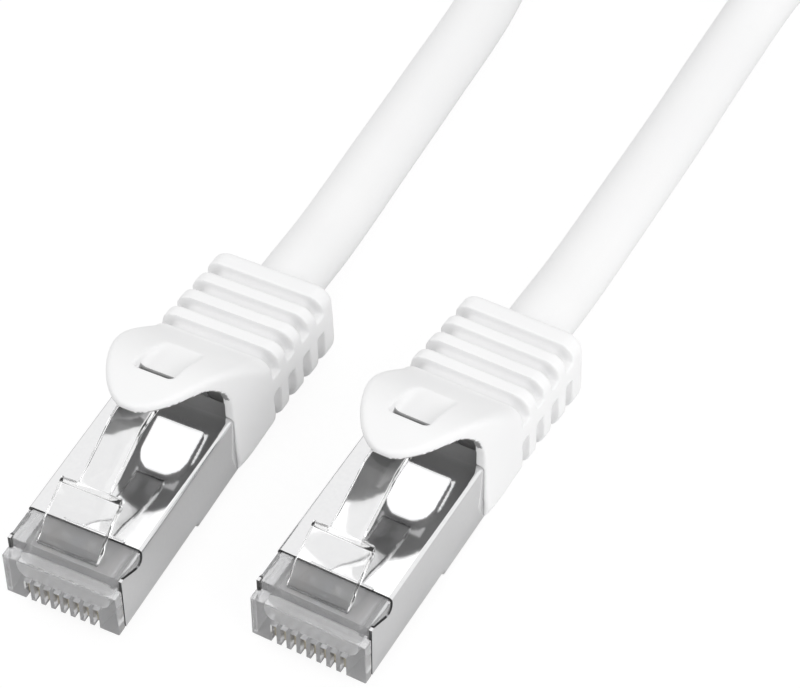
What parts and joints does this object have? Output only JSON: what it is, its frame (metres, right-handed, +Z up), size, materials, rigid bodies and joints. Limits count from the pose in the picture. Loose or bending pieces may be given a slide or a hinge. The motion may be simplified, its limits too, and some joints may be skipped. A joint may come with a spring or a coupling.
{
  "type": "ethernet patch cable",
  "caption": "Shielded network patch cable: two clear modular plugs in metal shields with hooded white boots, joined by a round white cord whose spare length lies in a tied coil.",
  "frame": {"origin": "on the surface that the cable lies on, under the middle of the box round both ends without the cord", "axes": "+Z up, end a's plug points to -Y and the cord leaves towards +Y, +X from end a to end b"},
  "size_m": [0.0832, 0.2007, 0.0162],
  "materials": {
    "clear_plastic": "clear moulded polycarbonate, glossy",
    "shield_metal": "bright nickel plate on folded sheet",
    "braid_metal": "tinned wire braid",
    "boot_plastic": "white moulded soft plastic, satin",
    "cord_jacket": "white extruded jacket, satin",
    "contact_gold": "gold-plated blades",
    "wire_insulation": "coloured wire insulation, seen as muted greys",
    "tie_strap": "black woven hook-and-loop strap"
  },
  "bodies": {
    "cable": {"shield_a": "shield_metal", "plug_housing_a": "clear_plastic", "boot_a": "boot_plastic", "load_bar_a": "clear_plastic", "braid_a": "braid_metal", "contact_1_a": "contact_gold", "contact_2_a": "contact_gold", "contact_3_a": "contact_gold", "contact_4_a": "contact_gold", "contact_5_a": "contact_gold", "contact_6_a": "contact_gold", "contact_7_a": "contact_gold", "contact_8_a": "contact_gold", "wire_1_a": "wire_insulation", "wire_2_a": "wire_insulation", "wire_3_a": "wire_insulation", "wire_4_a": "wire_insulation", "wire_5_a": "wire_insulation", "wire_6_a": "wire_insulation", "wire_7_a": "wire_insulation", "wire_8_a": "wire_insulation", "shield_b": "shield_metal", "plug_housing_b": "clear_plastic", "boot_b": "boot_plastic", "load_bar_b": "clear_plastic", "braid_b": "braid_metal", "contact_1_b": "contact_gold", "contact_2_b": "contact_gold", "contact_3_b": "contact_gold", "contact_4_b": "contact_gold", "contact_5_b": "contact_gold", "contact_6_b": "contact_gold", "contact_7_b": "contact_gold", "contact_8_b": "contact_gold", "wire_1_b": "wire_insulation", "wire_2_b": "wire_insulation", "wire_3_b": "wire_insulation", "wire_4_b": "wire_insulation", "wire_5_b": "wire_insulation", "wire_6_b": "wire_insulation", "wire_7_b": "wire_insulation", "wire_8_b": "wire_insulation", "cable_a": "cord_jacket", "cable_b": "cord_jacket", "cable_coil": "cord_jacket", "cable_tie": "tie_strap"},
    "hood_a": {"boot_hood_a": "boot_plastic"},
    "latch_a": {"latch_a": "clear_plastic"},
    "hood_b": {"boot_hood_b": "boot_plastic"},
    "latch_b": {"latch_b": "clear_plastic"}
  },
  "joints": [
    {"name": "hood_press_a", "type": "hinge", "parent": "cable", "child": "hood_a", "pos_m": [-0.01225, 0.00174, 0.0118], "axis": [1, 0, 0], "range_deg": [0, 15], "stiffness_Nm_per_rad": 0.005},
    {"name": "latch_press_a", "type": "hinge", "parent": "cable", "child": "latch_a", "pos_m": [-0.01225, -0.02086, 0.008], "axis": [-1, 0, 0], "range_deg": [0, 14], "stiffness_Nm_per_rad": 0.005},
    {"name": "hood_press_b", "type": "hinge", "parent": "cable", "child": "hood_b", "pos_m": [0.01103, 0.00701, 0.0118], "axis": [0.9988, -0.048, 0], "range_deg": [0, 15], "stiffness_Nm_per_rad": 0.005},
    {"name": "latch_press_b", "type": "hinge", "parent": "cable", "child": "latch_b", "pos_m": [0.00995, -0.01556, 0.008], "axis": [-0.9988, 0.048, 0], "range_deg": [0, 14], "stiffness_Nm_per_rad": 0.005}
  ],
  "couplings": [
    {"joint": "latch_press_a", "follows": "hood_press_a", "ratio": 0.93},
    {"joint": "latch_press_b", "follows": "hood_press_b", "ratio": 0.93}
  ]
}
